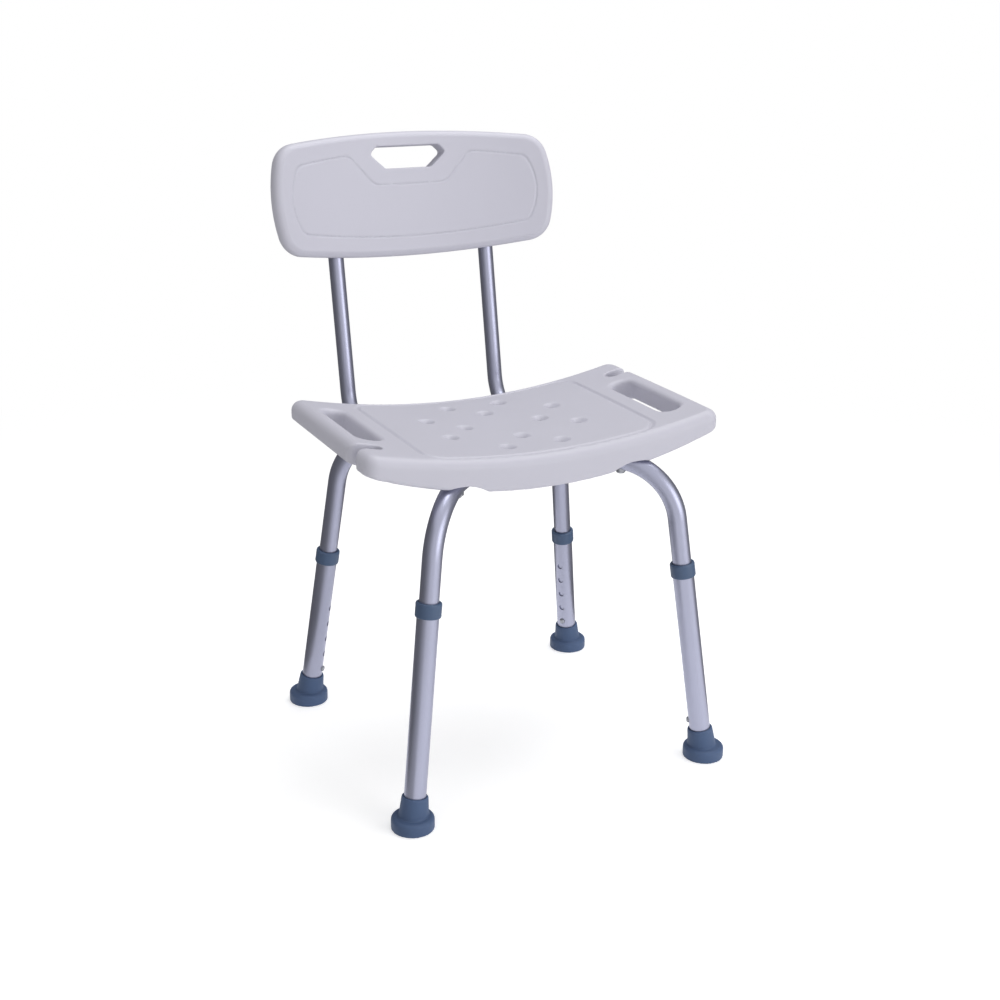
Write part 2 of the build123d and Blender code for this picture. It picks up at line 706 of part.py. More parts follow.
def back_channel():
    """Cutter, in the panel's plane, for the channel of the right back tube, open behind."""
    radius = BACK_RADIUS + REST_CHANNEL_GAP
    run = Plane(origin=(BACK_X, 0, 0), z_dir=(0, 1, 0))
    top = REST_TUBE_TOP + PLUG_CAP + REST_CHANNEL_GAP
    round_part = rod(run, radius, -REST_HEIGHT, top)
    behind = Pos(BACK_X, top, 0) * Box(
        2 * radius, REST_HEIGHT + top, REST_HALF, align=(Align.CENTER, Align.MAX, Align.MAX)
    )
    return round_part + behind


def backrest_panel():
    """The moulded backrest."""
    panel = extrude(rest_outline(0, REST_CORNER), REST_HALF, both=True)
    panel = panel & rest_shell(REST_RADIUS - REST_THICK / 2, REST_RADIUS + REST_THICK / 2)
    faces = panel.faces().sort_by(SortBy.AREA)[-2:]
    panel = fillet(faces[0].edges() + faces[1].edges(), REST_ROUND)
    panel = panel - handle_cut() - rest_line()
    channel = back_channel()
    panel = panel - channel - mirror(channel, about=Plane.YZ)
    panel = REST * panel
    deep = BACK_RADIUS + REST_CHANNEL_GAP + REST_INSERT_LENGTH
    for height in REST_SCREW_HEIGHTS:
        hole = rod(rest_axis(height), REST_SCREW / 2 + INSERT_WALL, BACK_RADIUS, deep)
        panel = panel - hole - mirror(hole, about=Plane.YZ)
    return panel


# ---------------------------------------------------------------- telescoping legs

def leg_length(collar_height):
    """Length along the leg from the floor to the leg tube's top, inside the collar."""
    return collar_height / LEG_UP.Z + COLLAR_HEIGHT / 2 - COLLAR_LIP


def leg_tube(collar_height):
    """Lower leg tube with its row of holes."""
    tube = ring(LEG, LEG_RADIUS, LEG_RADIUS - LEG_WALL, LEG_FLOOR_GAP, leg_length(collar_height))
    for n in range(HOLE_COUNT):
        place = button_axis()
        place.origin = FOOT + LEG_UP * (HOLE_FIRST + n * HOLE_PITCH)
        tube = tube - rod(place, HOLE_DIAMETER / 2, 0, LEG_TUBE)
    return tube


def collar(collar_height):
    """Collar on the leg tube's top, which guides the frame tube."""
    top = leg_length(collar_height) + COLLAR_LIP
    blank = rod(LEG, COLLAR_DIAMETER / 2, top - COLLAR_HEIGHT, top)
    blank = fillet(blank.edges().filter_by(GeomType.CIRCLE), COLLAR_ROUND)
    blank = blank - rod(LEG, LEG_RADIUS, top - COLLAR_HEIGHT, top - COLLAR_LIP)
    return blank - rod(LEG, FRAME_RADIUS + GUIDE_GAP, top - COLLAR_LIP, top)


def rubber_foot():
    """Rubber foot: a flat flange on the floor and a neck along the leaning leg."""
    flange = Pos(FOOT) * Cylinder(
        FOOT_FLANGE / 2, FOOT_FLANGE_HEIGHT, align=(Align.CENTER, Align.CENTER, Align.MIN)
    )
    flange = fillet(flange.edges().sort_by(Axis.Z)[-1:], FOOT_FLANGE_ROUND)
    neck = LEG * Cone(
        FOOT_NECK_BASE / 2,
        FOOT_NECK_TOP / 2,
        FOOT_NECK_HEIGHT,
        align=(Align.CENTER, Align.CENTER, Align.MIN),
    )
    neck = fillet(neck.edges().sort_by(Axis.Z)[-1:], FOOT_NECK_ROUND)
    below = Pos(FOOT) * Box(
        FOOT_FLANGE, FOOT_FLANGE, FOOT_FLANGE, align=(Align.CENTER, Align.CENTER, Align.MAX)
    )
    foot = flange + (neck - below)
    foot = foot - rod(LEG, LEG_RADIUS, LEG_FLOOR_GAP - FOOT_WASHER, FOOT_NECK_HEIGHT + FOOT_FLANGE)
    half = TREAD_WIDTH / 2
    for radius in FOOT_TREADS:
        foot = foot - ring(upright(FOOT_X, FOOT_Y), radius + half, radius - half, 0, TREAD_DEPTH)
    return foot


def foot_washer():
    """Steel disc between the rubber and the leg tube's end."""
    return rod(LEG, LEG_RADIUS, LEG_FLOOR_GAP - FOOT_WASHER, LEG_FLOOR_GAP)


def snap_button():
    """Locking button, through the frame tube and the leg tube."""
    place = button_axis()
    top = LEG_RADIUS + BUTTON_REACH
    radius = HOLE_DIAMETER / 2 - BUTTON_GAP
    shank = rod(place, radius, BUTTON_FLANGE_TOP, top)
    shank = fillet(shank.edges().sort_by(plane_axis(place))[-1:], BUTTON_ROUND)
    flange_low = BUTTON_FLANGE_TOP - BUTTON_FLANGE_THICK
    return shank + rod(place, BUTTON_FLANGE / 2, flange_low, BUTTON_FLANGE_TOP)


def snap_spring():
    """Bent spring strip inside the frame tube, which carries the button."""
    near = BUTTON_FLANGE_TOP - BUTTON_FLANGE_THICK - SPRING_THICK / 2
    flat = BUTTON_FLANGE / 2
    turn = SPRING_LENGTH - flat
    route = Polyline((-flat, near), (flat, near), (turn, SPRING_BEND))
    route += ThreePointArc((turn, SPRING_BEND), (turn + SPRING_BEND, 0), (turn, -SPRING_BEND))
    route += Polyline((turn, -SPRING_BEND), (-flat, -SPRING_FAR_SIDE))
    place = button_axis()
    strip_plane = Plane(origin=place.origin, x_dir=LEG_UP, z_dir=LEG_UP.cross(place.z_dir))
    strip = trace(route, SPRING_THICK)
    return extrude(strip_plane * strip, SPRING_WIDTH / 2, both=True)


# ---------------------------------------------------------------- the whole chair

def pair(shape):
    """A right piece and its left twin, as one group."""
    return [shape, mirror(shape, about=Plane.YZ)]


def build_nodes():
    """Every named node of the chair, as a list of separate solids each."""
    places = insert_places()
    path = back_path()
    top_end = Plane(origin=path @ 0, z_dir=LEAN_BACK)
    front_end = Plane(origin=path @ 1, z_dir=(0, -1, 0))
    nodes = {
        "seat_panel": [seat_panel()],
        "backrest_panel": [backrest_panel()],
        "cross_tube_upper": [cross_tube(1)],
        "cross_tube_lower": [mirror(cross_tube(-1), about=Plane.YZ)],
        "back_tube_right": [back_tube()],
        "back_tube_left": [mirror(back_tube(), about=Plane.YZ)],
        "back_tube_top_plugs": pair(tube_plug(top_end)),
        "back_tube_front_plugs": pair(tube_plug(front_end)),
        "back_tube_spacers": pair(back_spacer()),
        "seat_inserts": [seat_insert(x, y) for x, y in places],
        "seat_bolts": [seat_bolt(x, y) for x, y in places],
        "seat_washers": [seat_washer(x, y) for x, y in places],
        "backrest_inserts": [s for h in REST_SCREW_HEIGHTS for s in pair(rest_insert(h))],
        "backrest_screws": [s for h in REST_SCREW_HEIGHTS for s in pair(rest_screw(h))],
    }
    for side, end, place, collar_height in (
        (-1, -1, "front_left", COLLAR_FRONT_LEFT),
        (1, -1, "front_right", COLLAR_FRONT_RIGHT),
        (-1, 1, "rear_left", COLLAR_REAR_LEFT),
        (1, 1, "rear_right", COLLAR_REAR_RIGHT),
    ):
        pieces = {
            "leg_tube": leg_tube(collar_height),
            "leg_collar": collar(collar_height),
            "rubber_foot": rubber_foot(),
            "foot_washer": foot_washer(),
            "snap_button": snap_button(),
            "snap_spring": snap_spring(),
        }
        for name, shape in pieces.items():
            nodes[f"{name}_{place}"] = [at_corner(shape, side, end)]
    return nodes


def main():
    """Centre the chair over the origin and write one STEP file per node."""
    nodes = build_nodes()
    boxes = [solid.bounding_box() for solids in nodes.values() for solid in solids]
    front = min(box.min.Y for box in boxes)
    back = max(box.max.Y for box in boxes)
    shift = Pos(0, -(front + back) / 2, 0)
    os.makedirs("parts", exist_ok=True)
    for name, solids in nodes.items():
        moved = [shift * solid for solid in solids]
        shape = moved[0] if len(moved) == 1 else Compound(children=moved)
        export_step(shape, f"parts/{name}.step")


if __name__ == "__main__":
    main()
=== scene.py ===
"""Looks of a shower chair: moulded panels, satin tubes, slate fittings and rubber feet."""

import logging
import math
from dataclasses import dataclass
from enum import Enum
from typing import Callable

import bpy
import numpy as np
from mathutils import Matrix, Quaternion, Vector


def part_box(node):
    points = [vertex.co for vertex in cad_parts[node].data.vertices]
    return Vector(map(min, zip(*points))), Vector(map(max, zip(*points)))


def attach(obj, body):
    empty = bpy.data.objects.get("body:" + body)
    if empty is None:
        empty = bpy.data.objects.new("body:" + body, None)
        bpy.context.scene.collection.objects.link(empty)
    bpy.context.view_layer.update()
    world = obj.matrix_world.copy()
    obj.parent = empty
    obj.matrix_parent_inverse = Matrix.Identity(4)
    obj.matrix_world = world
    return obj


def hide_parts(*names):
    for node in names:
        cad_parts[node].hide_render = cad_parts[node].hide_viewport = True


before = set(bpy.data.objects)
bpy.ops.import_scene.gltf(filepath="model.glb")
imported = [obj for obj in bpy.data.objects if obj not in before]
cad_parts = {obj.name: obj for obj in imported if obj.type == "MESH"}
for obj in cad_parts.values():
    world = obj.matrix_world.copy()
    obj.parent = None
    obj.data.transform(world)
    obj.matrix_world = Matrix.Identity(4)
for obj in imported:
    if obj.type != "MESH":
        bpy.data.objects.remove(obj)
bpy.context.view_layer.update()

LOG = logging.getLogger("shower_chair")
MM = 0.001
FULL_CHANNEL = 255
SRGB_KNEE = 0.04045  # share of a screen colour below which its curve is straight
SRGB_SLOPE = 12.92
SRGB_LIFT = 0.055
SRGB_POWER = 2.4
WHITE = (1.0, 1.0, 1.0, 1.0)

Colour = tuple[float, float, float]
Value = float | tuple[float, ...] | bpy.types.NodeSocket
Settle = Callable[[np.ndarray, np.ndarray], np.ndarray]


def srgb(red: float, green: float, blue: float) -> Colour:
    """Turn a screen colour into a linear one.

    Args:
        red: Red, from 0 to 255.
        green: Green, from 0 to 255.
        blue: Blue, from 0 to 255.

    Returns:
        The colour in linear light.
    """
    def linear(value: float) -> float:
        """Turn one channel into linear light.

        Args:
            value: The channel, from 0 to 255.

        Returns:
            Its light, from 0 to 1.
        """
        share = value / FULL_CHANNEL
        if share <= SRGB_KNEE:
            return share / SRGB_SLOPE
        return ((share + SRGB_LIFT) / (1 + SRGB_LIFT)) ** SRGB_POWER

    return linear(red), linear(green), linear(blue)


def tinted(colour: Colour, share: float = 1.0) -> tuple[float, ...]:
    """Make a colour darker or lighter by a share, with full opacity added."""
    return (*(min(1.0, channel * share) for channel in colour), 1.0)


class Fitting(Enum):
    """Which end of the chair a leg stands at, and on which side."""

    FRONT_LEFT = "front_left"
    FRONT_RIGHT = "front_right"
    REAR_LEFT = "rear_left"
    REAR_RIGHT = "rear_right"


# ------------------------------------------------------------------ node trees

class Graph:
    """A node tree with short ways to add joined nodes."""

    def __init__(self, tree: bpy.types.NodeTree) -> None:
        """Keep the tree and empty it."""
        self.tree = tree
        tree.nodes.clear()

    def add(
        self, kind: str, inputs: dict[str | int, Value] | None = None, **settings: object
    ) -> bpy.types.Node:
        """Add a node.

        Args:
            kind: The node's type name.
            inputs: A value, or another node's output, for each input by its name or number.
            settings: Properties of the node.

        Returns:
            The new node.
        """
        node = self.tree.nodes.new(kind)
        for name, value in settings.items():
            setattr(node, name, value)
        for label, value in (inputs or {}).items():
            if isinstance(value, bpy.types.NodeSocket):
                self.tree.links.new(value, node.inputs[label])
            else:
                node.inputs[label].default_value = value
        return node

    def calculate(
        self, operation: str, first: Value, second: Value, clamp: bool = False
    ) -> bpy.types.NodeSocket:
        """Work out a number from two others.

        Args:
            operation: What is done with them.
            first: The first number.
            second: The second number.
            clamp: Whether the result is kept from 0 to 1.

        Returns:
            The result.
        """
        inputs = {0: first, 1: second}
        node = self.add("ShaderNodeMath", inputs, operation=operation, use_clamp=clamp)
        return node.outputs[0]

    def noise(
        self, place: Value, scale: Value, detail: float = 2.0, roughness: float = 0.5
    ) -> bpy.types.NodeSocket:
        """Add a noise.

        Args:
            place: Where it is looked up.
            scale: How fine it is.
            detail: How many finer layers it has.
            roughness: How strong the finer layers are.

        Returns:
            Its value, from 0 to 1.
        """
        inputs = {"Vector": place, "Scale": scale, "Detail": detail, "Roughness": roughness}
        return self.add("ShaderNodeTexNoise", inputs).outputs["Fac"]

    def mix(self, share: Value, first: Value, second: Value) -> bpy.types.NodeSocket:
        """Mix two colours, from the first at a share of 0 to the second at 1."""
        inputs = {"Factor": share, "A": first, "B": second}
        return self.add("ShaderNodeMix", inputs, data_type="RGBA").outputs["Result"]

    def spread(self, value: Value, low: float, high: float) -> bpy.types.NodeSocket:
        """Spread a value of 0 to 1 over the range from low to high."""
        inputs = {"Value": value, "To Min": low, "To Max": high}
        return self.add("ShaderNodeMapRange", inputs).outputs["Result"]

    def bump(self, height: Value, strength: float, depth: float) -> bpy.types.NodeSocket:
        """Tilt the surface by a height of 0 to 1 that stands for a depth in metres."""
        inputs = {"Height": height, "Strength": strength, "Distance": depth}
        return self.add("ShaderNodeBump", inputs).outputs["Normal"]


def new_group(name: str, inputs: dict[str, float], outputs: list[str]) -> Graph:
    """Start a shader node group.

    Args:
        name: The group's name.
        inputs: Name and default of each number input.
        outputs: Name of each number output.

    Returns:
        A graph that fills the group.
    """
    tree = bpy.data.node_groups.new(name, "ShaderNodeTree")
    for label, default in inputs.items():
        socket = tree.interface.new_socket(label, in_out="INPUT", socket_type="NodeSocketFloat")
        socket.default_value = default
    for label in outputs:
        tree.interface.new_socket(label, in_out="OUTPUT", socket_type="NodeSocketFloat")
    return Graph(tree)


def new_material(name: str) -> tuple[bpy.types.Material, Graph]:
    """Start a material.

    Args:
        name: The material's name.

    Returns:
        The material and a graph that fills it.
    """
    material = bpy.data.materials.new(name)
    material.use_nodes = True
    return material, Graph(material.node_tree)


@dataclass(frozen=True)
class MouldedGrain:
    """The fine grain of a moulded surface."""

    scale: float = 900.0
    detail: float = 3.0
    roughness: float = 0.55
    mottle_scale: float = 14.0
    mottle_detail: float = 4.0

    def build(self) -> bpy.types.NodeTree:
        """Make the group.

        Returns:
            A group with a Height output, for a bump, and a Mottle output from 0 to 1.
        """
        defaults = {"Scale": self.scale, "Mottle Scale": self.mottle_scale}
        graph = new_group("moulded_grain", defaults, ["Height", "Mottle"])
        given = graph.add("NodeGroupInput").outputs
        place = graph.add("ShaderNodeTexCoord").outputs["Object"]
        fine = graph.noise(place, given["Scale"], self.detail, self.roughness)
        broad = graph.noise(place, given["Mottle Scale"], self.mottle_detail)
        graph.add("NodeGroupOutput", {"Height": fine, "Mottle": broad})
        return graph.tree


@dataclass(frozen=True)
class EdgeWearAndShade:
    """Masks of convex edges, lightened by the finishes partly for wear and partly as painted
    highlight, and of hollows, darkened by them as painted shade.
    """

    sharpness: float = 14.0
    break_up: float = 120.0
    flat: float = 0.5  # pointiness of a flat place

    def build(self) -> bpy.types.NodeTree:
        """Make the group.

        Returns:
            A group with an Edge output and a Hollow output, each from 0 to 1.
        """
        defaults = {"Sharpness": self.sharpness, "Break Up": self.break_up}
        graph = new_group("edge_wear_and_shade", defaults, ["Edge", "Hollow"])
        given = graph.add("NodeGroupInput").outputs
        place = graph.add("ShaderNodeTexCoord").outputs["Object"]
        noise = graph.noise(place, given["Break Up"])
        pointed = graph.add("ShaderNodeNewGeometry").outputs["Pointiness"]
        away = graph.calculate("SUBTRACT", pointed, self.flat)
        scaled = graph.calculate("MULTIPLY", away, given["Sharpness"])
        masks = {}
        for label, sign in (("Edge", 1.0), ("Hollow", -1.0)):
            signed = graph.calculate("MULTIPLY", scaled, sign, clamp=True)
            masks[label] = graph.calculate("MULTIPLY", signed, noise, clamp=True)
        graph.add("NodeGroupOutput", masks)
        return graph.tree


@dataclass(frozen=True)
class DrawnLines:
    """Fine drawn lines that run along a tube."""

    across: float = 1400.0
    along: float = 12.0
    streak_scale: float = 30.0

    def build(self) -> bpy.types.NodeTree:
        """Make the group.

        Returns:
            A group with a Height output and a Streak output from 0 to 1.
        """
        defaults = {"Across": self.across, "Along": self.along}
        graph = new_group("drawn_lines", defaults, ["Height", "Streak"])
        given = graph.add("NodeGroupInput").outputs
        place = graph.add("ShaderNodeTexCoord").outputs["Object"]
        scales = {"X": given["Across"], "Y": given["Across"], "Z": given["Along"]}
        stretch = graph.add("ShaderNodeCombineXYZ", scales).outputs[0]
        scaled = graph.add("ShaderNodeVectorMath", {0: place, 1: stretch}, operation="MULTIPLY")
        lines = graph.noise(scaled.outputs[0], 1.0)
        streaks = graph.noise(place, self.streak_scale)
        graph.add("NodeGroupOutput", {"Height": lines, "Streak": streaks})
        return graph.tree


class Effects:
    """The shared shader groups, each built once."""

    def __init__(self) -> None:
        """Build every group."""
        self.grain = MouldedGrain().build()
        self.edges = EdgeWearAndShade().build()
        self.lines = DrawnLines().build()


# ------------------------------------------------------------------ finishes

@dataclass(frozen=True)
class MouldedFinish:
    """A moulded plastic or rubber."""

    name: str
    colour: Colour
    # Lighter colour for convex edges: partly wear, partly painted highlight.
    wear_and_highlight: Colour
    # Darker colour for hollows: painted shade.
    painted_shade: Colour
    roughness: float
    specular: float
    grain: float
    bump: float
    # Strength of the lighter colour on convex edges, partly wear and partly painted highlight.
    edge_wear_and_highlight: float
    mottle: float
    # Strength of the painted shade in hollows.
    hollow_shade: float = 0.4
    smoother: float = 0.05
    rougher: float = 0.08
    depth: float = 0.4 * MM

    def build(self, effects: Effects) -> bpy.types.Material:
        """Make the material.

        Args:
            effects: The shared groups.

        Returns:
            The material.
        """
        material, graph = new_material(self.name)
        grain = graph.add("ShaderNodeGroup", {"Scale": self.grain}, node_tree=effects.grain).outputs
        edges = graph.add("ShaderNodeGroup", node_tree=effects.edges).outputs
        low, high = tinted(self.colour, 1 - self.mottle), tinted(self.colour, 1 + self.mottle)
        colour = graph.mix(grain["Mottle"], low, high)
        # Convex edges are lightened, partly for wear and partly as painted highlight; hollows are
        # darkened as painted shade.
        for mask, strength, over in (
            (edges["Edge"], self.edge_wear_and_highlight, self.wear_and_highlight),
            (edges["Hollow"], self.hollow_shade, self.painted_shade),
        ):
            share = graph.calculate("MULTIPLY", mask, strength, clamp=True)
            colour = graph.mix(share, colour, tinted(over))
        smooth, rough = self.roughness - self.smoother, self.roughness + self.rougher
        shader = graph.add("ShaderNodeBsdfPrincipled", {
            "Base Color": colour,
            "Specular IOR Level": self.specular,
            "Roughness": graph.spread(grain["Mottle"], smooth, rough),
            "Normal": graph.bump(grain["Height"], self.bump, self.depth),
        })
        graph.add("ShaderNodeOutputMaterial", {"Surface": shader.outputs[0]})
        return material


@dataclass(frozen=True)
class MetalFinish:
    """A satin, drawn or plated metal."""

    name: str
    colour: Colour
    roughness: float
    across: float = DrawnLines.across
    along: float = DrawnLines.along
    bump: float = 0.1
    spread: float = 0.06
    darker: float = 0.93
    lighter: float = 1.05
    depth: float = 0.2 * MM

    def build(self, effects: Effects) -> bpy.types.Material:
        """Make the material.

        Args:
            effects: The shared groups.

        Returns:
            The material.
        """
        material, graph = new_material(self.name)
        scales = {"Across": self.across, "Along": self.along}
        lines = graph.add("ShaderNodeGroup", scales, node_tree=effects.lines).outputs
        low, high = tinted(self.colour, self.darker), tinted(self.colour, self.lighter)
        smooth, rough = self.roughness - self.spread, self.roughness + self.spread
        shader = graph.add("ShaderNodeBsdfPrincipled", {
            "Base Color": graph.mix(lines["Height"], low, high),
            "Metallic": 1.0,
            "Roughness": graph.spread(lines["Streak"], smooth, rough),
            "Normal": graph.bump(lines["Height"], self.bump, self.depth),
        })
        graph.add("ShaderNodeOutputMaterial", {"Surface": shader.outputs[0]})
        return material


# Each moulded finish gives its own colour, then a lighter colour for convex edges (partly wear,
# partly painted highlight), then a darker colour for hollows (painted shade).
PANEL = MouldedFinish(
    "pale_moulding", srgb(200, 199, 211), srgb(214, 213, 223), srgb(142, 140, 154),
    roughness=0.44, specular=0.45, grain=700.0, bump=0.16, edge_wear_and_highlight=0.25, mottle=0.015,
)
SLATE = MouldedFinish(
    "slate_fitting", srgb(68, 88, 118), srgb(96, 116, 144), srgb(24, 32, 48),
    roughness=0.4, specular=0.5, grain=1200.0, bump=0.12, edge_wear_and_highlight=0.5, mottle=0.06,
)
RUBBER = MouldedFinish(
    "slate_rubber", srgb(72, 92, 126), srgb(104, 120, 150), srgb(22, 28, 44),
    roughness=0.55, specular=0.4, grain=1000.0, bump=0.2, edge_wear_and_highlight=0.4, mottle=0.08,
)
TUBE = MetalFinish("satin_tube", srgb(168, 170, 190), roughness=0.36)
STEEL = MetalFinish("plated_steel", srgb(156, 158, 166), roughness=0.34, across=900.0, along=900.0)
BRASS = MetalFinish("brass_insert", srgb(206, 172, 96), roughness=0.3, across=900.0, along=900.0)


class Finishes:
    """Every material, built once."""

    def __init__(self) -> None:
        """Build the shared effects, then the materials."""
        effects = Effects()
        self.panel = PANEL.build(effects)
        self.slate = SLATE.build(effects)
        self.rubber = RUBBER.build(effects)
        self.tube = TUBE.build(effects)
        self.steel = STEEL.build(effects)
        self.brass = BRASS.build(effects)


# ------------------------------------------------------------------ mesh tools

def dress(piece: bpy.types.Object, material: bpy.types.Material) -> None:
    """Give a piece one material all over.

    Args:
        piece: The piece.
        material: Its material.
    """
    piece.data.materials.clear()
    piece.data.materials.append(material)
    for polygon in piece.data.polygons:
        polygon.material_index = 0


def link_piece(name: str, mesh: bpy.types.Mesh) -> bpy.types.Object:
    """Put a mesh in the scene as a piece.

    Args:
        name: The piece's name.
        mesh: Its mesh, in the shared frame.

    Returns:
        The new object.
    """
    piece = bpy.data.objects.new(name, mesh)
    bpy.context.scene.collection.objects.link(piece)
    return piece


def apply_modifiers(piece: bpy.types.Object) -> None:
    """Turn a piece's modifiers into mesh.

    Args:
        piece: The piece, whose mesh is replaced.
    """
    graph = bpy.context.evaluated_depsgraph_get()
    made = bpy.data.meshes.new_from_object(piece.evaluated_get(graph))
    piece.modifiers.clear()
    old = piece.data
    piece.data = made
    bpy.data.meshes.remove(old)


@dataclass
class SoftMoulding:
    """A moulded piece whose edges are softened from its CAD solid."""

    node: str
    name: str
    voxel: float
    smoothing: int

    def correct(self, mesh: bpy.types.Mesh, settle: Settle) -> None:
        """Move a softened mesh's points, and keep them inside the node's box.

        Args:
            mesh: The mesh.
            settle: Gives the points' new places from their places and normals.
        """
        places = np.empty(len(mesh.vertices) * 3)
        normals = np.empty(len(mesh.vertices) * 3)
        mesh.vertices.foreach_get("co", places)
        mesh.vertices.foreach_get("normal", normals)
        moved = settle(places.reshape(-1, 3), normals.reshape(-1, 3))
        low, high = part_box(self.node)
        mesh.vertices.foreach_set("co", np.clip(moved, low, high).ravel())
        mesh.update()

    def build(self, settle: Settle | None = None) -> bpy.types.Object:
        """Remesh the solid evenly and soften its edges.

        Args:
            settle: Optional correction of the points, given their places and normals.

        Returns:
            The new piece.
        """
        piece = link_piece(self.name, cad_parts[self.node].data.copy())
        remesh = piece.modifiers.new("even", "REMESH")
        remesh.mode = "VOXEL"
        remesh.voxel_size = self.voxel
        soften = piece.modifiers.new("soften", "SMOOTH")
        soften.iterations = self.smoothing
        apply_modifiers(piece)
        if settle is not None:
            self.correct(piece.data, settle)
        piece.data.shade_smooth()
        return piece


# ------------------------------------------------------------------ sub-assemblies

DRAWN_WITHIN = 0.2 * MM  # a point this near its true surface is drawn all the way to it
KEPT_BEYOND = 0.55 * MM  # a point this far from its true surface stays where it is


def arc_rise(half: float, rise: float, offset: np.ndarray) -> np.ndarray:
    """Rise of a gentle arc at an offset from its middle.

    Args:
        half: Half chord of the arc.
        rise: Its rise over the half chord.
        offset: Distances from the middle.

    Returns:
        The rise at each offset.
    """
    radius = (half**2 + rise**2) / (2 * rise)
    return radius - np.sqrt(radius**2 - offset**2)


def settled(gap: np.ndarray) -> np.ndarray:
    """Share by which a point is drawn to its true surface.

    Args:
        gap: Distance of each point from that surface.

    Returns:
        The share for each point, from 1 to 0 along a smooth step.
    """
    share = np.clip((KEPT_BEYOND - np.abs(gap)) / (KEPT_BEYOND - DRAWN_WITHIN), 0, 1)
    return share * share * (3 - 2 * share)


@dataclass
class Seat:
    """The moulded seat: dished from side to side, crowned from front to back."""

    width: float = 508 * MM
    depth: float = 289 * MM
    top: float = 456 * MM
    dish: float = 30.8 * MM
    crown: float = 0.8 * MM
    thick: float = 44.6 * MM
    under_rise: float = 47 * MM
    voxel: float = 1.5 * MM
    smoothing: int = 6
    upright: float = 0.93  # upright share of a normal on the top or the underside

    def build(self, finish: bpy.types.Material) -> bpy.types.Object:
        """Make the seat.

        Args:
            finish: Its material.

        Returns:
            The seat.
        """
        low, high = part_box("seat_panel")
        middle = (low.y + high.y) / 2

        def settle(places: np.ndarray, normals: np.ndarray) -> np.ndarray:
            """Draw the top and the underside to their true curves.

            Args:
                places: The points.
                normals: Their normals.

            Returns:
                The moved points.
            """
            moved = places.copy()
            x = places[:, 0]
            top = self.top + arc_rise(self.width / 2, self.dish, x)
            top -= arc_rise(self.depth / 2, self.crown, places[:, 1] - middle)
            under = self.top - self.thick + arc_rise(self.width / 2, self.under_rise, x)
            for surface, facing in ((top, 1), (under, -1)):
                gap = places[:, 2] - surface
                moved[:, 2] -= settled(gap) * (facing * normals[:, 2] > self.upright) * gap
            return moved

        piece = SoftMoulding("seat_panel", "seat", self.voxel, self.smoothing).build(settle)
        dress(piece, finish)
        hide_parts("seat_panel")
        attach(piece, "chair_frame")
        LOG.info("seat: %d points", len(piece.data.vertices))
        return piece


@dataclass
class Backrest:
    """The moulded backrest, curved around the sitter on two leaning tubes."""

    half: float = 218.8 * MM
    wrap: float = 41 * MM
    thick: float = 26 * MM
    lean: float = 11.0  # degrees back from upright
    voxel: float = 1.3 * MM
    smoothing: int = 4
    facing: float = 0.9  # outward share of a normal on one of the two faces

    def build(self, finish: bpy.types.Material) -> bpy.types.Object:
        """Make the backrest.

        Args:
            finish: Its material.

        Returns:
            The backrest.
        """
        lean = math.radians(self.lean)
        front = np.array((0.0, -math.cos(lean), math.sin(lean)))
        radius = (self.half**2 + self.wrap**2) / (2 * self.wrap)

        def settle(places: np.ndarray, normals: np.ndarray) -> np.ndarray:
            """Draw both faces to their true curves.

            Args:
                places: The points.
                normals: Their normals.

            Returns:
                The moved points.
            """
            ahead = places @ front
            axis = ahead.min() + self.thick / 2 + radius
            from_axis = np.stack((places[:, 0], ahead - axis), axis=1)
            distance = np.linalg.norm(from_axis, axis=1)
            outward = from_axis / distance[:, None]
            across = normals[:, 0] * outward[:, 0] + (normals @ front) * outward[:, 1]
            moved = places.copy()
            for side in (-1, 1):
                gap = distance - (radius + side * self.thick / 2)
                step = -settled(gap) * (across * side > self.facing) * gap
                moved[:, 0] += step * outward[:, 0]
                moved += (step * outward[:, 1])[:, None] * front
            return moved

        piece = SoftMoulding("backrest_panel", "backrest", self.voxel, self.smoothing).build(settle)
        dress(piece, finish)
        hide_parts("backrest_panel")
        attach(piece, "chair_frame")
        LOG.info("backrest: %d points", len(piece.data.vertices))
        return piece


@dataclass
class Leg:
    """One telescoping leg with its collar, foot, button and spring."""

    fitting: Fitting
    collar_voxel: float = 0.7 * MM
    foot_voxel: float = 1.0 * MM
    smoothing: int = 4

    def build(self, finishes: Finishes) -> None:
        """Dress the leg's parts and soften its collar and foot.

        Args:
            finishes: The materials.
        """
        place = self.fitting.value
        body = f"leg_{place}"
        dress(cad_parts[f"leg_tube_{place}"], finishes.tube)
        for part in ("foot_washer", "snap_spring", "snap_button"):
            dress(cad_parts[f"{part}_{place}"], finishes.steel)
        rows = (
            ("leg_collar", "collar", self.collar_voxel, finishes.slate, "slate_plastic"),
            ("rubber_foot", "foot", self.foot_voxel, finishes.rubber, "slate_rubber"),
        )
        for node, name, voxel, finish, slot in rows:
            soft = SoftMoulding(f"{node}_{place}", f"{name}_{place}", voxel, self.smoothing)
            piece = soft.build()
            dress(piece, finish)
            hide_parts(f"{node}_{place}")
            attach(piece, body)
            LOG.info("%s: %d points", piece.name, len(piece.data.vertices))


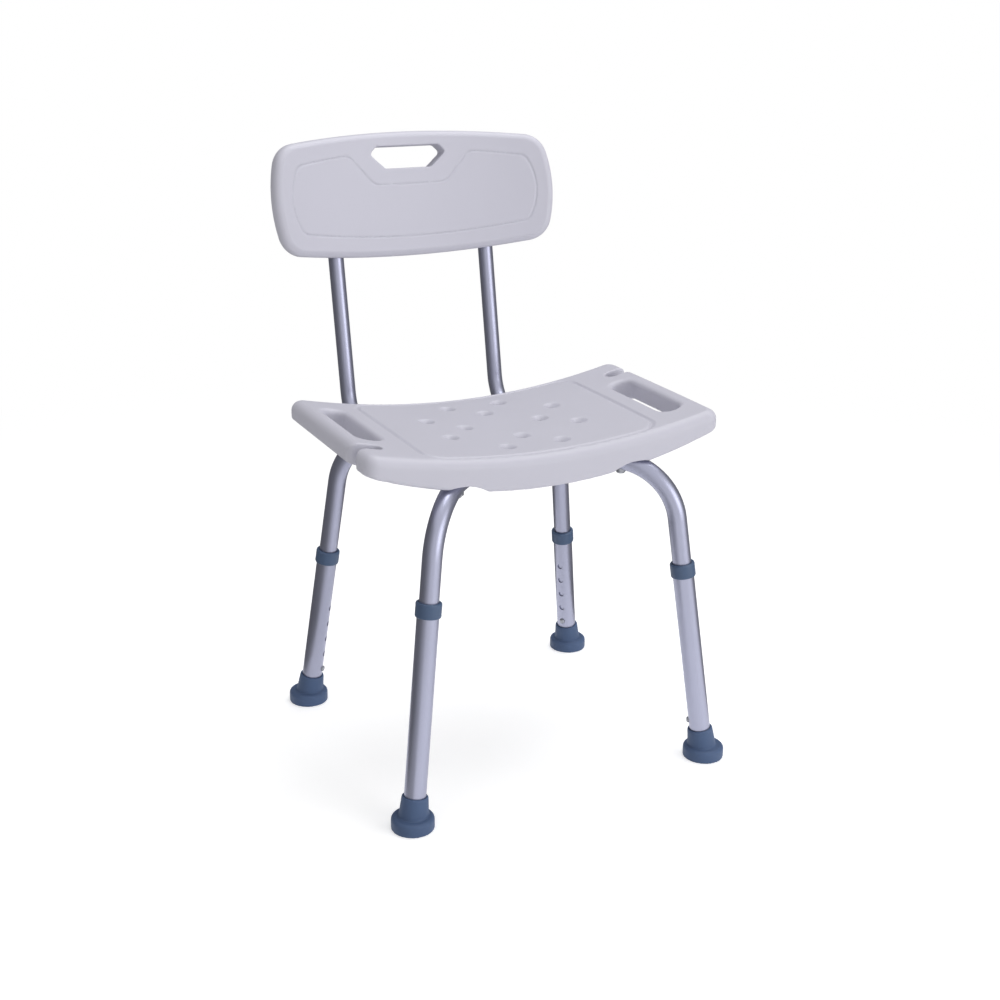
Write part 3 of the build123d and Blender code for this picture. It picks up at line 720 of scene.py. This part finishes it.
@dataclass
class TubeFrame:
    """The crossed tubes, the back tubes and what holds them to the panels."""

    tubes: tuple[str, ...] = (
        "cross_tube_upper", "cross_tube_lower", "back_tube_right", "back_tube_left",
    )
    plastics: tuple[str, ...] = (
        "back_tube_top_plugs", "back_tube_front_plugs", "back_tube_spacers",
    )
    brasses: tuple[str, ...] = ("seat_inserts", "backrest_inserts")
    steels: tuple[str, ...] = ("seat_bolts", "seat_washers", "backrest_screws")

    def build(self, finishes: Finishes) -> None:
        """Dress the frame's parts.

        Args:
            finishes: The materials.
        """
        rows = (
            (self.tubes, finishes.tube),
            (self.plastics, finishes.slate),
            (self.brasses, finishes.brass),
            (self.steels, finishes.steel),
        )
        for names, finish in rows:
            for name in names:
                dress(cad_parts[name], finish)
                LOG.info("%s: dressed", name)


# ------------------------------------------------------------------ studio

@dataclass(frozen=True)
class Lamp:
    """A square soft light that faces the chair."""

    name: str
    place: tuple[float, float, float]
    size: float
    power: float
    mirrored: bool = True

    def build(self, target: Vector) -> None:
        """Hang the light.

        Args:
            target: The point that it faces.
        """
        data = bpy.data.lights.new(self.name, "AREA")
        data.size = self.size
        data.energy = self.power
        light = bpy.data.objects.new(self.name, data)
        light.location = self.place
        light.rotation_mode = "QUATERNION"
        light.rotation_quaternion = (target - Vector(self.place)).to_track_quat("-Z", "Y")
        light.visible_glossy = self.mirrored
        bpy.context.scene.collection.objects.link(light)


@dataclass(frozen=True)
class Screen:
    """A curved screen beside the chair, which only shiny surfaces mirror.

    Its two sides stand at angles in degrees to the right of the chair's front. Its grey is how
    bright it looks, where 1 is white. Its profile holds reaches from the middle and heights.
    """

    start: float
    end: float
    grey: float
    profile: tuple[tuple[float, float], ...] = ((0.37, 0.003), (2.2, 0.003), (2.2, 2.4))
    panels: int = 12

    def mesh(self, name: str) -> bpy.types.Mesh:
        """Bend the profile round the chair.

        Args:
            name: The mesh's name.

        Returns:
            The mesh.
        """
        points = []
        for angle in np.radians(np.linspace(self.start, self.end, self.panels + 1)):
            aside, ahead = math.sin(angle), -math.cos(angle)
            points += [(reach * aside, reach * ahead, height) for reach, height in self.profile]
        row = len(self.profile)
        corners = [n * row + m for n in range(self.panels) for m in range(row - 1)]
        mesh = bpy.data.meshes.new(name)
        mesh.from_pydata(points, [], [(c, c + row, c + row + 1, c + 1) for c in corners])
        return mesh

    def build(self, name: str) -> None:
        """Stand the screen up.

        Args:
            name: Its name.
        """
        screen = link_piece(name, self.mesh(name))
        material, graph = new_material(name)
        glow = graph.add("ShaderNodeEmission", {"Strength": self.grey})
        graph.add("ShaderNodeOutputMaterial", {"Surface": glow.outputs[0]})
        screen.data.materials.append(material)
        screen.visible_camera = False
        screen.visible_diffuse = False
        screen.visible_transmission = False
        screen.visible_shadow = False


KEY_PLACE = (1.7, -3.1, 0.9)
KEY_SIZE = 2.2
LAMPS = (
    Lamp("key", KEY_PLACE, KEY_SIZE, 28),
    Lamp("key_matt", KEY_PLACE, KEY_SIZE, 34, mirrored=False),
    Lamp("fill", (-2.8, -1.4, 1.6), 2.0, 9),
    Lamp("top", (0.7, 0.2, 2.8), 1.8, 34),
)
SCREENS = (
    Screen(-40.0, -66.0, 0.5),
    Screen(-66.0, -115.0, 0.22),
    Screen(-115.0, -235.0, 0.2),
    Screen(-235.0, -270.0, 0.25),
    Screen(-270.0, -300.0, 0.36),
)


def background_rays(graph: Graph) -> bpy.types.NodeSocket:
    """Tell the rays that see the background from those that carry light.

    Args:
        graph: The node tree to add to.

    Returns:
        A value of 1 for camera, glossy and transmission rays, else 0.
    """
    path = graph.add("ShaderNodeLightPath").outputs
    seen = path["Is Camera Ray"]
    for kind in ("Is Glossy Ray", "Is Transmission Ray"):
        seen = graph.calculate("MAXIMUM", seen, path[kind])
    return seen


@dataclass
class Studio:
    """Floor, light, background, grey screens and camera.

    Angles are in degrees, and lengths in metres but for the camera's lens and sensor.
    """

    floor_size: float = 14.0
    floor_near: float = 0.3
    floor_far: float = 1.9
    floor_grey: float = 0.9
    glow: float = 0.47
    sky: float = 0.42
    white: float = 1.0
    aside: tuple[float, float, float] = (-2.4 * MM, 1.2 * MM, 346.8 * MM)
    azimuth: float = -26.57
    elevation: float = 19.63
    roll: float = 0.68
    distance: float = 2.0765
    lens: float = 54.46
    sensor: float = 36.0

    def target(self) -> Vector:
        """Find the point that the camera and the lamps face.

        Returns:
            A point over the middle of the four feet.
        """
        boxes = [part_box(f"rubber_foot_{fitting.value}") for fitting in Fitting]
        middle = sum((low + high for low, high in boxes), Vector()) / (2 * len(boxes))
        return Vector((middle.x, middle.y, 0)) + Vector(self.aside)

    def floor(self) -> None:
        """Lay a plain white floor that keeps the shadow and fades into the background."""
        mesh = bpy.data.meshes.new("studio_floor")
        half = self.floor_size / 2
        corners = [(-half, -half, 0), (half, -half, 0), (half, half, 0), (-half, half, 0)]
        mesh.from_pydata(corners, [], [(0, 1, 2, 3)])
        floor = link_piece("studio_floor", mesh)
        material, graph = new_material("studio_floor")
        seen = background_rays(graph)
        grey = tinted((self.floor_grey, self.floor_grey, self.floor_grey))
        diffuse = graph.add("ShaderNodeBsdfDiffuse", {"Color": grey})
        strength = graph.calculate("MULTIPLY", seen, self.glow)
        glow = graph.add("ShaderNodeEmission", {"Strength": strength})
        lit = graph.add("ShaderNodeAddShader", {0: diffuse.outputs[0], 1: glow.outputs[0]})
        place = graph.add("ShaderNodeTexCoord").outputs["Object"]
        away = graph.add("ShaderNodeVectorMath", {0: place}, operation="LENGTH").outputs["Value"]
        reach = {"Value": away, "From Min": self.floor_near, "From Max": self.floor_far}
        fade = graph.add("ShaderNodeMapRange", reach, interpolation_type="SMOOTHSTEP")
        share = graph.calculate("MULTIPLY", seen, fade.outputs["Result"])
        plain = graph.add("ShaderNodeEmission", {"Color": WHITE})
        shaders = {"Fac": share, 1: lit.outputs[0], 2: plain.outputs[0]}
        both = graph.add("ShaderNodeMixShader", shaders)
        graph.add("ShaderNodeOutputMaterial", {"Surface": both.outputs[0]})
        mesh.materials.append(material)

    def world(self) -> None:
        """Make the background white and the sky light plain."""
        world = bpy.data.worlds.new("studio_world")
        world.use_nodes = True
        bpy.context.scene.world = world
        graph = Graph(world.node_tree)
        strength = graph.spread(background_rays(graph), self.sky, self.white)
        sky = graph.add("ShaderNodeBackground", {"Color": WHITE, "Strength": strength})
        graph.add("ShaderNodeOutputWorld", {"Surface": sky.outputs[0]})

    def camera(self) -> None:
        """Set the camera at the chair's front left, a little above it."""
        azimuth, elevation = math.radians(self.azimuth), math.radians(self.elevation)
        back = Vector((
            math.sin(azimuth) * math.cos(elevation),
            -math.cos(azimuth) * math.cos(elevation),
            math.sin(elevation),
        ))
        data = bpy.data.cameras.new("camera")
        data.lens = self.lens
        data.sensor_width = self.sensor
        camera = bpy.data.objects.new("camera", data)
        camera.location = self.target() + back * self.distance
        camera.rotation_mode = "QUATERNION"
        roll = Quaternion((0, 0, 1), math.radians(self.roll))
        camera.rotation_quaternion = (-back).to_track_quat("-Z", "Y") @ roll
        bpy.context.scene.collection.objects.link(camera)
        bpy.context.scene.camera = camera

    def build(self) -> None:
        """Set up the whole studio."""
        self.floor()
        self.world()
        for number, screen in enumerate(SCREENS):
            screen.build(f"studio_screen_{number}")
        for lamp in LAMPS:
            lamp.build(self.target())
        self.camera()
        bpy.context.scene.view_settings.view_transform = "Standard"
        LOG.info("studio: ready")


def main() -> None:
    """Build the chair's looks, piece by piece."""
    logging.basicConfig(level=logging.INFO)
    finishes = Finishes()
    TubeFrame().build(finishes)
    Seat().build(finishes.panel)
    Backrest().build(finishes.panel)
    for fitting in Fitting:
        Leg(fitting).build(finishes)
    Studio().build()


if __name__ == "__main__":
    main()
